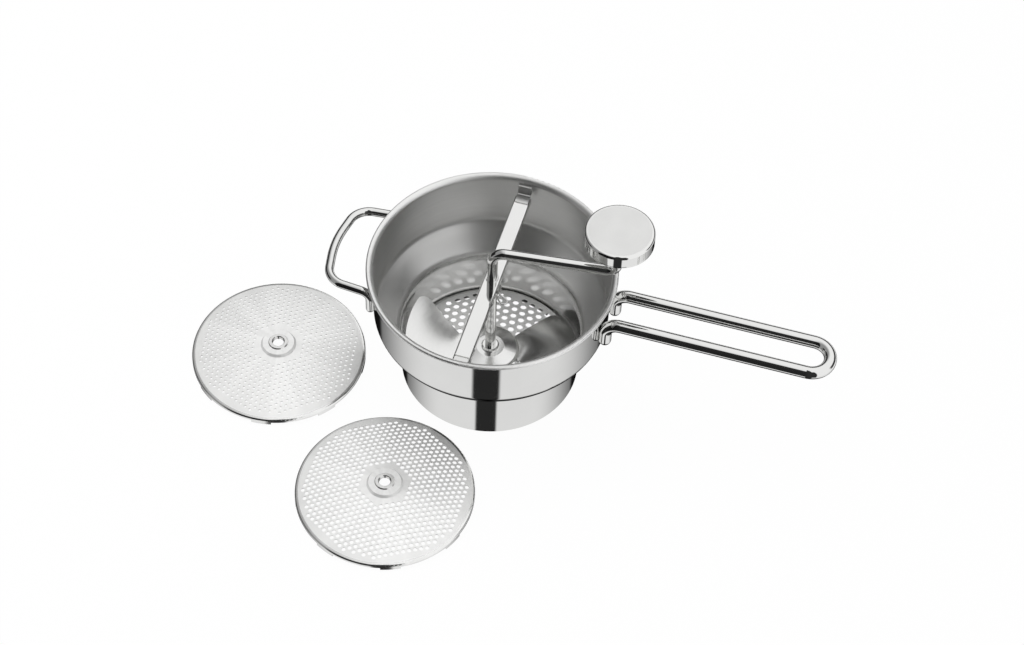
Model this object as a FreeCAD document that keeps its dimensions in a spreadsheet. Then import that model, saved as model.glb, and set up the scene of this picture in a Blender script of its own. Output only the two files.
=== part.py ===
"""A hand-cranked food mill with three interchangeable sieve discs.

Millimetres, +Z up. The origin is on the bowl's axis, in the plane that the foot stands on.
+X runs along the long handle and the crossbar lies along Y.
"""
import FreeCAD, Part
import math
import os
import re
import Sketcher

V = FreeCAD.Vector
UP = V(0, 0, 1)
CENTRE = V(0, 0, 0)

doc = FreeCAD.newDocument("food_mill")
sheet = doc.addObject("Spreadsheet::Sheet", "sizes")

SIZES = (
    # bowl
    ("wall", 0.8, "sheet thickness of the bowl and of the sieves"),
    ("rim_width", 5.1, "how far the rim's outside stands out past the wall under it"),
    ("bowl_height", 127.7, "top of the rim above the table"),
    ("rim_roll", 4.0, "radius of the turn from the wall into the rim"),
    ("rim_lip", 2.6, "drop of the rim's outer lip"),
    ("mouth_radius", 99.9, "outside of the wall just under the rim"),
    ("wall_taper", 0.6, "how much narrower the wall is just above the shoulder"),
    ("shoulder_height", 23.6, "rise of the shoulder from the foot to the wall"),
    ("foot_radius", 76.3, "outside of the foot, which drops into a pan"),
    ("foot_height", 50.0, "where the foot meets the shoulder"),
    ("foot_bend", 15.0, "inside radius of the bend from the foot into the shoulder"),
    ("shoulder_bend", 9.0, "inside radius of the bend from the shoulder into the wall"),
    ("lip_bend", 0.6, "inside radius of the bend down into the rim's lip"),
    ("seat_width", 6.5, "width of the ledge inside the foot that carries a sieve"),
    ("hem_width", 1.6, "width of the folded hem inside the foot"),
    # sieves
    ("sieve_play", 0.6, "gap between a sieve's turned-down edge and the foot"),
    ("sieve_edge", 3.5, "height of the turned-down edge"),
    ("sieve_bend", 1.6, "outside radius of the bend into that edge"),
    ("sieve_lug", 2.5, "how far the lugs reach below the edge"),
    ("lug_width", 17.0, "width of one lug along the edge"),
    ("lug_count", 8, "lugs round a sieve"),
    ("lug_play", 1.0, "free space at each end of a lug in its notch"),
    ("lug_turn", 8.0, "turn of the first lug from +X, degrees"),
    ("sieve_drop", 0.3, "gap from the fitted lugs to the table"),
    ("sieve_dome", 9.6, "rise of the domed sheet from its edge to its middle"),
    ("medium_lugs", 21.5, "turn of the medium sieve's first lug from +X, degrees"),
    ("fine_lugs", 7.5, "turn of the fine sieve's first lug from +X, degrees"),
    ("boss_band", 5.9, "raised sheet round a sieve's hub"),
    ("boss_slope", 1.2, "run of the step round that raised sheet"),
    ("boss_skirt", 2.5, "flat ring pressed outside that step"),
    ("boss_bend", 0.5, "radius of the step's bends"),
    ("boss_height", 2.4, "rise of that raised sheet"),
    ("hub_flange", 2.3, "how far the hub stands out past its sleeve"),
    ("hub_height", 1.0, "rise of the hub above the boss"),
    ("sleeve_wall", 1.3, "wall of the hub's sleeve in the sheet"),
    ("hub_chamfer", 0.6, "chamfer of the hub's edges"),
    ("pilot_wall", 1.4, "wall of the pilot that turns in a sieve's hub"),
    ("holes_start", 6.6, "band without holes round that raised sheet"),
    ("holes_edge", 6.4, "band without holes inside a sieve's edge"),
    ("fine_hole", 2.2, "hole diameter of the fine sieve"),
    ("fine_pitch", 4.95, "hole spacing of the fine sieve"),
    ("medium_hole", 3.5, "hole diameter of the medium sieve"),
    ("medium_pitch", 4.95, "hole spacing of the medium sieve"),
    ("coarse_hole", 5.4, "hole diameter of the coarse sieve"),
    ("coarse_pitch", 8.4, "hole spacing of the coarse sieve"),
    ("coarse_turn", 38.5, "turn of the coarse hole grid, degrees"),
    ("medium_turn", 29.3, "turn of the medium hole grid, degrees"),
    ("fine_turn", 39.1, "turn of the fine hole grid, degrees"),
    ("fine_gap", 31.4, "gap on the table between the foot and the fine sieve"),
    ("fine_way", -164.5, "direction of the fine sieve from the bowl, degrees"),
    ("medium_gap", 14.3, "gap on the table between the foot and the medium sieve"),
    ("medium_way", -105.2, "direction of the medium sieve from the bowl, degrees"),
    # handles
    ("handle_rod", 5.3, "radius of the long handle's rod"),
    ("handle_drop", 16.7, "long handle's rod below the top of the rim"),
    ("handle_length", 187.7, "wall to the far bend of the long handle"),
    ("handle_spread", 16.2, "half the distance between its two bars"),
    ("handle_bend", 12.0, "bend from each bar down into its leg"),
    ("leg_length", 26.5, "long handle's rod to the lower end of its legs"),
    ("loop_rod", 3.7, "radius of the loop handle's rod"),
    ("loop_drop", 17.7, "loop handle below the top of the rim"),
    ("loop_depth", 38.7, "wall to the back of the loop"),
    ("loop_spread", 43.8, "half the distance between the loop's legs"),
    ("loop_corner", 18.0, "radius of the loop's two outer corners"),
    ("loop_bow", 7.5, "how far those corners stand in front of the back of the loop"),
    ("loop_taper", 3.5, "how much nearer together the corners are than the legs"),
    ("loop_back", 90.0, "radius of the bowed back of the loop"),
    ("loop_leg", 23.0, "loop handle to the lower end of its legs"),
    ("weld_depth", 0.6, "flat pressed into a leg where it is welded to the wall"),
    # crossbar
    ("spring_side", 0.15, "gap between the spring and the bar's flanges"),
    ("bar_drop", 14.7, "flat top of the bar below the top of the rim"),
    ("bar_depth", 6.0, "depth of its two flanges"),
    ("bar_sheet", 1.2, "sheet thickness of the bar, the hooks and the blade"),
    ("bar_bend", 0.6, "inside radius of the bends between its top and its flanges"),
    ("bar_short", 6.4, "how much shorter half the bar is than the mouth's radius"),
    ("hook_side", 0.6, "how much narrower a hook is than the recess it lies in"),
    ("hook_lap", 6.9, "how far a hook's tongue lies over the end of the bar"),
    ("hook_drop", 5.7, "upper end of a hook below the top of the rim"),
    ("hook_stand", 2.2, "thickness of a hook on the wall"),
    ("hook_bend", 1.5, "radius of the bend from a hook's back into its tongue"),
    ("hook_play", 0.3, "gap between a tongue and the bar"),
    # crank
    ("shaft_radius", 4.5, "radius of the crank's rod"),
    ("running", 0.05, "radial clearance of every running fit"),
    ("arm_clear", 18.3, "axis of the crank's arm above the top of the rim"),
    ("knob_past", 2.8, "axis of the knob outside the wall"),
    ("arm_turn", 6.5, "turn of the arm from +X at rest, degrees"),
    ("arm_bend", 10.5, "bend between shaft and arm"),
    ("grip_bend", 8.0, "bend between arm and knob pin"),
    ("spigot_step", 1.0, "how much thinner the rod's turned-down ends are"),
    ("bush_flange", 1.0, "outside of the bush above the bar, past the shaft"),
    ("bush_rise", 0.9, "rise of the bush above the bar"),
    ("bush_wall", 0.7, "outside of the bush in the bar, past the shaft"),
    ("small_chamfer", 0.3, "chamfer of the bush's upper edge"),
    ("spring_wire", 0.45, "radius of the spring's wire"),
    ("spring_clear", 0.45, "gap between the shaft and the spring"),
    ("spring_turns", 5, "coils of the spring"),
    ("spring_play", 0.15, "gap between the spring and the bar"),
    ("spring_room", 13.5, "flat top of the bar down to the washer under the spring"),
    ("washer_band", 3.5, "outside of that washer, past the shaft"),
    ("clip_wire", 0.8, "radius of the hairpin clip's wire"),
    ("clip_length", 14.0, "reach of the clip past the shaft to the bend that joins its legs"),
    ("clip_past", 4.5, "how far both legs reach past the shaft on the other side"),
    ("clip_part", 8.0, "where the legs part behind that bend, past the shaft"),
    ("clip_pinch", 2.6, "how far the second leg is pinched in before the shaft"),
    ("clip_clear", 0.5, "gap between the second leg and the shaft"),
    ("clip_play", 0.1, "gap between the clip and the washer above it"),
    ("clip_hole", 0.02, "play of the clip in the shaft's cross hole"),
    ("clip_turn", -46.0, "turn of the clip from +X, degrees"),
    # blade
    ("blade_inset", 1.9, "how much smaller the blade's radius is than the sieve's"),
    ("blade_gap", 0.5, "gap between the blade's low edge and the sieve"),
    ("blade_rise", 29.5, "rise of a wing's leading corner above the sieve"),
    ("middle_band", 13.0, "sloping band of the blade's round middle, outside its raised flat"),
    ("hub_step", 1.6, "height of the step round the blade's middle"),
    ("hub_lift", 0.2, "how much higher that step's foot lies than the roots of the wings"),
    ("step_bend", 0.5, "bend at the top of that step"),
    ("dish_bend", 1.0, "bend round the raised flat"),
    ("dish_band", 4.4, "raised flat of the blade round its ferrule"),
    ("blade_corner", 7.0, "rounding of the blade's outer corners"),
    ("wing_lead", -27.7, "direction of a wing's raised leading edge from +X, degrees"),
    ("wing_lead_shift", 7.7, "how far that edge passes to the left of the axis"),
    ("wing_trail", 58.8, "direction of its low trailing edge from +X, degrees"),
    ("wing_trail_shift", -4.3, "how far that edge passes to the left of the axis"),
    ("wing_climb", 1.4, "how gently a wing starts to climb outside the blade's middle"),
    ("wing_fade", 1.5, "how slowly the rise fades away from the leading edge"),
    ("ferrule_wall", 3.1, "outside of the ferrule above the blade, past the shaft"),
    ("ferrule_height", 2.4, "height of that ferrule"),
    ("ferrule_chamfer", 1.2, "chamfer of its upper edge"),
    ("pilot_chamfer", 0.5, "chamfer of the pilot's lower edge"),
    # knob
    ("knob_radius", 28.8, "outside of the knob"),
    ("knob_rise", 38.0, "axis of the crank's arm up to the underside of the knob's base"),
    ("knob_height", 13.3, "height of the whole knob"),
    ("knob_edge", 2.4, "rounding of the knob's upper edge"),
    ("knob_base_height", 2.2, "height of the base ring"),
    ("knob_sheet", 1.0, "sheet thickness of the knob"),
    ("neck_band", 3.0, "how far the raised middle of the knob's underside stands out past its bush"),
    ("knob_neck_height", 1.6, "drop of that middle"),
    ("knob_chamfer", 0.9, "chamfer of the base's lower edge"),
    ("knob_seam", 0.5, "groove between the base and the cap"),
    ("knob_spigot", 0.8, "gap between the base's upstand and the cap's wall"),
    ("knob_bush_wall", 2.5, "wall of the knob's bush"),
    ("pin_headroom", 2.0, "free height in the knob above its retainer"),
    ("retainer_height", 1.4, "thickness of the retainer on the pin"),
    ("retainer_play", 0.2, "end play of the knob between its washer and its retainer"),
    ("washer_lip", 1.2, "how far the washer under the knob stands out past its bush"),
    ("pin_proud", 0.8, "how far the pin stands past the retainer"),
)
for row, (alias, number, meaning) in enumerate(SIZES, start=1):
    sheet.set("A%d" % row, alias)
    sheet.set("B%d" % row, str(number))
    sheet.set("C%d" % row, meaning)
    sheet.setAlias("B%d" % row, alias)
doc.recompute()

ALIASES = {alias for alias, number, meaning in SIZES}

TIED = {
    "clip_tail": "shaft_radius + clip_past",
    "clip_waist": "shaft_radius + clip_part",
    "clip_leg": "shaft_radius + clip_length",
    "arm_radius": "mouth_radius + knob_past",
    "loop_reach": "mouth_radius + loop_depth",
    "handle_reach": "mouth_radius + handle_length",
    "loop_shoulder": "2 * loop_rod",
    "seat_height": "sieve_drop + sieve_lug",
    "hook_width": "bar_width - 2 * bar_sheet - hook_side",
    "bar_width": "2 * (spring_radius + spring_wire + spring_side + bar_sheet)",
    "blade_hub": "blade_dish + middle_band",
    "blade_dish": "ferrule_radius + dish_band",
    "ferrule_radius": "shaft_radius + ferrule_wall",
    "washer_radius": "shaft_radius + washer_band",
    "spring_radius": "shaft_radius + spring_wire + spring_clear",
    "bush_radius": "shaft_radius + bush_wall",
    "bush_lip": "shaft_radius + bush_flange",
    "spigot_radius": "shaft_radius - spigot_step",
    "holes_inside": "boss_radius + holes_start",
    "boss_radius": "hub_radius + boss_band",
    "hub_radius": "hub_sleeve + hub_flange",
    "hub_sleeve": "hub_bore + sleeve_wall",
    "hub_bore": "spigot_radius + pilot_wall",
    "knob_bush": "spigot_radius + knob_bush_wall",
    "knob_neck": "knob_bush + neck_band",
    "medium_y": "(foot_radius + sieve_radius + medium_gap) * sin(medium_way * 1deg)",
    "medium_x": "(foot_radius + sieve_radius + medium_gap) * cos(medium_way * 1deg)",
    "fine_y": "(foot_radius + sieve_radius + fine_gap) * sin(fine_way * 1deg)",
    "fine_x": "(foot_radius + sieve_radius + fine_gap) * cos(fine_way * 1deg)",
    "rim_radius": "mouth_radius + rim_width",
    "belly_radius": "mouth_radius - wall_taper",
    "belly_height": "foot_height + shoulder_height",
    "seat_radius": "foot_radius - wall - seat_width",
    "sieve_radius": "foot_radius - wall - sieve_play",
    "holes_outside": "sieve_radius - holes_edge",
    "handle_height": "bowl_height - handle_drop",
    "leg_bottom": "handle_height - leg_length",
    "loop_height": "bowl_height - loop_drop",
    "loop_bottom": "loop_height - loop_leg",
    "bar_top": "bowl_height - bar_drop",
    "bar_end": "mouth_radius - bar_short",
    "hook_reach": "bar_end - hook_lap",
    "hook_top": "bowl_height - hook_drop",
    "arm_height": "bowl_height + arm_clear",
    "washer_top": "bar_top - spring_room",
    "blade_radius": "sieve_radius - blade_inset",
    "knob_bottom": "arm_height + knob_rise",
}


def formula(text):
    """A sum of aliases and of sizes tied to them, written out as an expression on the sheet."""
    def named(match):
        word = match.group()
        if word in TIED:
            return "(" + formula(TIED[word]) + ")"
        return "sizes." + word if word in ALIASES else word
    return re.sub(r"[a-z_]+", named, text)


def value(text):
    """What such a sum comes to."""
    return float(sheet.evalExpression(formula(text)))


def size(name):
    """One size: the number in its cell, or what a tied size comes to."""
    return value(TIED[name]) if name in TIED else float(sheet.get(name))


parts = []


def keep(thing, label):
    """Names a finished sub-part and lists it for the export."""
    thing.Label = label
    parts.append(thing)
    return thing


def polar(radius, degrees, height=0.0):
    angle = math.radians(degrees)
    return V(radius * math.cos(angle), radius * math.sin(angle), height)


# ---------------------------------------------------------------- helpers


def origin_part(body, role):
    return next(f for f in body.Origin.OriginFeatures if f.Role == role)


def outline(body, name, role, corners):
    """A closed sketch. Each corner is a pair of sums that hold its two coordinates."""
    sketch = body.newObject("Sketcher::SketchObject", name)
    sketch.AttachmentSupport = [(origin_part(body, role), "")]
    sketch.MapMode = "FlatFace"
    points = [V(value(across), value(along), 0) for across, along in corners]
    count = len(points)
    for i in range(count):
        sketch.addGeometry(Part.LineSegment(points[i], points[(i + 1) % count]), False)
    for i in range(count):
        sketch.addConstraint(Sketcher.Constraint("Coincident", i, 2, (i + 1) % count, 1))
    for i, (across, along) in enumerate(corners):
        for kind, text, number in (("DistanceX", across, points[i].x), ("DistanceY", along, points[i].y)):
            held = sketch.addConstraint(Sketcher.Constraint(kind, -1, 1, i, 1, number))
            sketch.setExpression("Constraints[%d]" % held, formula(text))
    return sketch


def turned(label, corners, height="0"):
    """A solid of revolution: corners are (radius, height) pairs, lifted by height."""
    body = doc.addObject("PartDesign::Body", label)
    sketch = outline(body, label + "_outline", "XZ_Plane", corners)
    spin = body.newObject("PartDesign::Revolution", label + "_turned")
    spin.Profile = sketch
    spin.ReferenceAxis = (sketch, ["V_Axis"])
    spin.Angle = 360.0
    body.Tip = spin
    body.setExpression("Placement.Base.z", formula(height))
    return keep(body, label)


def tangent_chain(points, radii):
    """Straight edges through the points, each inner corner rounded by its radius."""
    edges = []
    start = points[0]
    for i in range(1, len(points) - 1):
        back = (points[i - 1] - points[i]).normalize()
        ahead = (points[i + 1] - points[i]).normalize()
        half = back.getAngle(ahead) / 2
        reach = radii[i - 1] / math.tan(half)
        into = points[i] + back * reach
        out = points[i] + ahead * reach
        toward = (back + ahead).normalize()
        middle = points[i] + toward * (radii[i - 1] / math.sin(half) - radii[i - 1])
        if (into - start).Length > 1e-6:
            edges.append(Part.LineSegment(start, into).toShape())
        edges.append(Part.Arc(into, middle, out).toShape())
        start = out
    edges.append(Part.LineSegment(start, points[-1]).toShape())
    return edges


def bent_rod(points, radii, rod):
    """A round rod bent through the points. The first run sets the section's plane."""
    path = Part.Wire(tangent_chain(points, radii))
    along = points[1] - points[0]
    section = Part.Wire(Part.makeCircle(rod, points[0], along))
    return path.makePipeShell([section], True, True)


def round_ends(shape, points, rod):
    """A rod with both of its cut ends rounded off."""
    return shape.fuse([Part.makeSphere(rod, points[0]), Part.makeSphere(rod, points[-1])])


def side_step(before, after, amount):
    """A corner moved to the left of both its runs by the same amount, in the XZ plane."""
    left_before = V(-before.z, 0, before.x)
    left_after = V(-after.z, 0, after.x)
    both = left_before + left_after
    return both * (2 * amount / both.dot(both))


def bent_sheet(points, radii, thickness):
    """The closed outline of a sheet bent through the points, thickened to the left."""
    runs = [(b - a).normalize() for a, b in zip(points, points[1:])]
    shifted = []
    for i, point in enumerate(points):
        before = runs[max(i - 1, 0)]
        after = runs[min(i, len(runs) - 1)]
        shifted.append(point + side_step(before, after, thickness))
    right_radii = []
    left_radii = []
    for i, radius in enumerate(radii):
        turns_left = runs[i].x * runs[i + 1].z - runs[i].z * runs[i + 1].x > 0
        right_radii.append(radius + thickness if turns_left else radius)
        left_radii.append(radius if turns_left else radius + thickness)
    edges = tangent_chain(points, right_radii)
    edges.append(Part.LineSegment(points[-1], shifted[-1]).toShape())
    edges += tangent_chain(shifted[::-1], left_radii[::-1])
    edges.append(Part.LineSegment(shifted[0], points[0]).toShape())
    return Part.Face(Part.Wire(edges))


def spun(face, degrees=360.0):
    return face.revolve(CENTRE, UP, degrees)


def ring_sector(inner, outer, low, high, middle, width):
    """A block of a ring: width degrees wide, about the direction middle."""
    corners = [V(inner, 0, low), V(outer, 0, low), V(outer, 0, high), V(inner, 0, high)]
    block = spun(Part.Face(Part.makePolygon(corners + corners[:1])), width)
    block.rotate(CENTRE, UP, middle - width / 2)
    return block


def feature(label, shape):
    thing = doc.addObject("Part::Feature", label)
    thing.Shape = shape
    return thing


# ---------------------------------------------------------------- bowl


def wall_radius(height, inside=False):
    """Radius of the bowl's upper wall at a height between shoulder and rim."""
    low = size("belly_height")
    high = size("bowl_height") - size("wall")
    share = (height - low) / (high - low)
    outside = size("belly_radius") + share * (size("mouth_radius") - size("belly_radius"))
    return outside - size("wall") if inside else outside


def wall_cone(inside=False):
    """Everything within the upper wall's outer or inner face."""
    low = size("belly_height")
    high = size("bowl_height") - size("wall")
    return Part.makeCone(wall_radius(low, inside), wall_radius(high, inside), high - low, V(0, 0, low))


def lug_angles(turn):
    count = int(size("lug_count"))
    return [turn + 360.0 * i / count for i in range(count)]


def lug_degrees(play=0.0):
    return math.degrees((size("lug_width") + 2 * play) / size("sieve_radius"))


def make_bowl():
    """One deep-drawn shell: foot, shoulder, wall and rolled rim, with a hem and a ledge inside the foot."""
    wall = size("wall")
    top = size("bowl_height")
    foot = size("foot_radius")
    lip = size("rim_radius") - wall
    points = [
        V(foot, 0, 0),
        V(foot, 0, size("foot_height")),
        V(size("belly_radius"), 0, size("belly_height")),
        V(size("mouth_radius"), 0, top - wall),
        V(lip, 0, top - wall),
        V(lip, 0, top - size("rim_lip")),
    ]
    bends = [size("foot_bend"), size("shoulder_bend"), size("rim_roll"), size("lip_bend")]
    shell = spun(bent_sheet(points, bends, wall))
    seat = size("seat_height")
    hem = foot - wall - size("hem_width")
    ledge = [
        V(foot - wall, 0, 0),
        V(hem, 0, 0),
        V(hem, 0, seat - wall),
        V(size("seat_radius"), 0, seat - wall),
        V(size("seat_radius"), 0, seat),
        V(foot - wall, 0, seat),
    ]
    ledge_ring = spun(Part.Face(Part.makePolygon(ledge + ledge[:1])))
    notches = [
        ring_sector(size("seat_radius") - 1, foot - wall, -1, seat + 1, angle, lug_degrees(size("lug_play")))
        for angle in lug_angles(size("lug_turn"))
    ]
    ledge_ring = ledge_ring.cut(notches)
    return keep(feature("bowl", shell.fuse(ledge_ring).removeSplitter()), "bowl")


def make_hook(label, turn):
    """A strip welded under the rim. Its tongue lies over one end of the crossbar."""
    width = size("hook_width")
    upper = size("bar_top")
    lower = upper - size("bar_sheet")
    far = size("rim_radius")
    inner = wall_radius(upper, True) - size("hook_stand")
    tip = size("hook_reach")
    corners = [V(tip, 0, upper), V(inner, 0, upper), V(inner, 0, size("hook_top"))]
    bend = tangent_chain(corners, [size("hook_bend")])
    rest = Part.makePolygon([
        V(inner, 0, size("hook_top")), V(far, 0, size("hook_top")), V(far, 0, lower),
        V(tip, 0, lower), V(tip, 0, upper),
    ])
    strip = Part.Face(Part.Wire(bend + rest.Edges)).extrude(V(0, width, 0))
    strip.translate(V(0, -width / 2, 0))
    shape = strip.common(wall_cone(True))
    shape.rotate(CENTRE, UP, turn)
    return keep(feature(label, shape), label)


# ---------------------------------------------------------------- handles


def leg_distance(rod, spread):
    """X of a welded leg whose flat lies on the wall."""
    reach = wall_radius(size("leg_bottom")) + rod - size("weld_depth")
    return math.sqrt(reach ** 2 - spread ** 2)


def make_long_handle():
    """One rod bent into a long loop, with both ends turned down and welded to the wall."""
    rod = size("handle_rod")
    spread = size("handle_spread")
    height = size("handle_height")
    leg = leg_distance(rod, spread)
    one_side = [
        V(leg, spread, size("leg_bottom") + rod),
        V(leg, spread, height),
        V(size("handle_reach"), spread, height),
    ]
    points = one_side + [V(p.x, -p.y, p.z) for p in reversed(one_side)]
    shape = bent_rod(points, [size("handle_bend"), spread, spread, size("handle_bend")], rod)
    shape = round_ends(shape, points, rod)
    return keep(feature("long_handle", shape.cut(wall_cone())), "long_handle")


def make_loop_handle():
    """A short bail opposite the long handle, bent from thinner rod."""
    rod = size("loop_rod")
    spread = size("loop_spread")
    height = size("loop_height")
    leg = leg_distance(rod, spread)
    back = size("loop_reach")
    corner = size("loop_corner")
    one_side = [
        V(-leg, spread, size("loop_bottom") + rod),
        V(-leg, spread, height),
        V(size("loop_bow") - back, spread - size("loop_taper"), height),
    ]
    points = one_side + [V(-back, 0, height)] + [V(p.x, -p.y, p.z) for p in reversed(one_side)]
    turn_down = size("loop_shoulder")
    shape = bent_rod(points, [turn_down, corner, size("loop_back"), corner, turn_down], rod)
    shape = round_ends(shape, points, rod)
    return keep(feature("loop_handle", shape.cut(wall_cone())), "loop_handle")


# ---------------------------------------------------------------- sieves


def hole_centres(pitch):
    """A triangular grid of centres within the ring between the boss and the edge."""
    rows = int(size("holes_outside") / (pitch * math.sqrt(3) / 2)) + 1
    columns = int(size("holes_outside") / pitch) + 1
    found = []
    for row in range(-rows, rows + 1):
        for column in range(-columns, columns + 1):
            x = pitch * (column + 0.5 * (row % 2))
            y = pitch * row * math.sqrt(3) / 2
            if size("holes_inside") <= math.hypot(x, y) <= size("holes_outside"):
                found.append((x, y))
    return found


def dome_sphere(sunk=0.0):
    """Radius of the sphere that a sieve's sheet follows, and the height of its centre."""
    span = size("sieve_radius") - size("sieve_bend")
    rise = size("sieve_dome")
    radius = (span ** 2 + rise ** 2) / (2 * rise)
    return radius - sunk, size("sieve_lug") + size("sieve_edge") + rise - radius


def dome_height(distance, sunk=0.0):
    """Height of the domed sheet at a distance from its axis, or of a surface sunk below it."""
    radius, centre = dome_sphere(sunk)
    return centre + math.sqrt(radius ** 2 - distance ** 2)


def sieve_side(sunk, bend):
    """One side of the sieve's section, from the foot of its edge to the sleeve in its boss."""
    outer = size("sieve_radius") - sunk
    radius, centre = dome_sphere(sunk)
    corner_x = outer - bend
    corner_z = centre + math.sqrt((radius - bend) ** 2 - corner_x ** 2)
    lean = math.atan2(corner_z - centre, corner_x)
    foot = V(outer, 0, size("sieve_lug"))
    shoulder = V(outer, 0, corner_z)
    middle = V(corner_x + bend * math.cos(lean / 2), 0, corner_z + bend * math.sin(lean / 2))
    tangent = V(corner_x + bend * math.cos(lean), 0, corner_z + bend * math.sin(lean))
    edges = [Part.LineSegment(foot, shoulder).toShape(), Part.Arc(shoulder, middle, tangent).toShape()]
    half = size("boss_slope") / 2
    boss = size("boss_radius") - half * sunk / size("wall")
    top = dome_height(0) + size("boss_height") - sunk
    skirt = boss + size("boss_skirt")
    start = V(skirt, 0, dome_height(skirt, sunk))
    half_way = (tangent.x + start.x) / 2
    edges.append(Part.Arc(tangent, V(half_way, 0, dome_height(half_way, sunk)), start).toShape())
    step = [start, V(boss + half, 0, dome_height(boss + half, sunk)), V(boss - half, 0, top)]
    bend = size("boss_bend")
    return edges + tangent_chain(step + [V(size("hub_sleeve"), 0, top)], [bend, bend])


def make_sieve(label, hole, pitch, place, lug_turn, grid_turn):
    """A pressed disc: domed and perforated, with a raised boss, a turned-down edge and lugs."""
    wall = size("wall")
    radius = size("sieve_radius")
    above = sieve_side(0.0, size("sieve_bend"))
    below = sieve_side(wall, size("sieve_bend") - wall)
    closing = [
        Part.LineSegment(above[-1].Vertexes[-1].Point, below[-1].Vertexes[-1].Point).toShape(),
        Part.LineSegment(above[0].Vertexes[0].Point, below[0].Vertexes[0].Point).toShape(),
    ]
    section = Part.Face(Part.Wire(Part.__sortEdges__(above + below + closing)))
    lugs = [
        ring_sector(radius - wall, radius, 0, size("sieve_lug") + wall, angle, lug_degrees())
        for angle in lug_angles(lug_turn)
    ]
    shape = spun(section).fuse(lugs).removeSplitter()
    depth = 2 * dome_height(0)
    drills = [Part.makeCylinder(hole / 2, depth, V(x, y, 0)) for x, y in hole_centres(pitch)]
    for drill in drills:
        drill.rotate(CENTRE, UP, grid_turn)
    sieve = feature(label, shape.cut(drills))
    sieve.Placement = FreeCAD.Placement(place, FreeCAD.Rotation())
    return keep(sieve, label)


def make_sieve_hub(label, x_text, y_text, z_text):
    """A turned bush pressed into the sieve's boss."""
    body = turned(label, (
        ("hub_bore", "sieve_lug + sieve_edge + sieve_dome"),
        ("hub_sleeve", "sieve_lug + sieve_edge + sieve_dome"),
        ("hub_sleeve", "sieve_lug + sieve_edge + sieve_dome + boss_height"),
        ("hub_radius", "sieve_lug + sieve_edge + sieve_dome + boss_height"),
        ("hub_radius - hub_chamfer", "sieve_lug + sieve_edge + sieve_dome + boss_height + hub_height"),
        ("hub_bore + hub_chamfer", "sieve_lug + sieve_edge + sieve_dome + boss_height + hub_height"),
        ("hub_bore", "sieve_lug + sieve_edge + sieve_dome + boss_height + hub_height - hub_chamfer"),
    ), z_text)
    body.setExpression("Placement.Base.x", formula(x_text))
    body.setExpression("Placement.Base.y", formula(y_text))
    return body


# ---------------------------------------------------------------- crossbar


def box(name, across, along, tall, low):
    """A Part::Box centred on the Z axis, with its sizes and its foot bound to the sheet."""
    block = doc.addObject("Part::Box", name)
    block.setExpression("Length", formula(across))
    block.setExpression("Width", formula(along))
    block.setExpression("Height", formula(tall))
    block.setExpression("Placement.Base.x", formula("-(%s) / 2" % across))
    block.setExpression("Placement.Base.y", formula("-(%s) / 2" % along))
    block.setExpression("Placement.Base.z", formula(low))
    return block


def combined(kind, name, first, others):
    """A Part boolean: Part::Cut of one tool, or Part::MultiFuse of all."""
    thing = doc.addObject(kind, name)
    if kind == "Part::Cut":
        thing.Base = first
        thing.Tool = others[0]
    else:
        thing.Shapes = [first] + others
        thing.Refine = True
    return thing


def make_crossbar():
    """An inverted channel. Both ends of its top are set down, so that the hooks' tongues lie in them."""
    half = size("bar_width") / 2
    low = size("bar_top") - size("bar_depth")
    thickness = size("bar_sheet")
    corners = [V(half, 0, low), V(half, 0, size("bar_top")), V(-half, 0, size("bar_top")), V(-half, 0, low)]
    bend = size("bar_bend")
    section = bent_sheet(corners, [bend, bend], thickness)
    section.translate(V(0, -size("bar_end"), 0))
    channel = feature("bar_channel", section.extrude(V(0, 2 * size("bar_end"), 0)))
    inner_width = "bar_width - 2 * bar_sheet"
    recess_floor = "bar_top - 2 * bar_sheet - hook_play"
    low_text = "bar_top - bar_depth"
    recess = box(
        "bar_recess", inner_width, "2 * bar_end + 2", "2 * bar_sheet", "bar_top - bar_sheet - hook_play"
    )
    kept_top = box("bar_kept_top", "bar_width", "2 * (hook_reach - bar_sheet)", "bar_depth", low_text)
    recesses = combined("Part::Cut", "bar_recesses", recess, [kept_top])
    notched = combined("Part::Cut", "bar_notched", channel, [recesses])
    floor = box("bar_floor", inner_width, "2 * bar_end", "bar_sheet", recess_floor)
    clear = box("bar_clear", "bar_width", "2 * (hook_reach - 2 * bar_sheet)", "bar_depth", low_text)
    floors = combined("Part::Cut", "bar_floors", floor, [clear])
    step = box(
        "bar_step", inner_width, "2 * (hook_reach - bar_sheet)", "2 * bar_sheet + hook_play", recess_floor
    )
    steps = combined("Part::Cut", "bar_steps", step, [clear])
    whole = combined("Part::MultiFuse", "bar_whole", notched, [floors, steps])
    bore = doc.addObject("Part::Cylinder", "bar_bore")
    bore.setExpression("Radius", formula("bush_radius"))
    bore.setExpression("Height", formula("2 * bar_depth"))
    bore.setExpression("Placement.Base.z", formula("bar_top - bar_depth"))
    return keep(combined("Part::Cut", "crossbar", whole, [bore]), "crossbar")


def make_bar_bush():
    """The flanged bush in the bar's bore, in which the crank turns."""
    return turned("bar_bush", (
        ("shaft_radius + running", "bar_top - bar_sheet"),
        ("bush_radius", "bar_top - bar_sheet"),
        ("bush_radius", "bar_top"),
        ("bush_lip", "bar_top"),
        ("bush_lip", "bar_top + bush_rise - small_chamfer"),
        ("bush_lip - small_chamfer", "bar_top + bush_rise"),
        ("shaft_radius + running", "bar_top + bush_rise"),
    ))


# ---------------------------------------------------------------- crank


def blade_clear(distance):
    """Height of the blade's underside over the fitted sieve."""
    return size("sieve_drop") + dome_height(distance) + size("blade_gap")


def blade_seat():
    """Underside of the blade's raised middle, clear of the sieve's hub."""
    return blade_clear(0) + size("boss_height") + size("hub_height")


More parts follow.
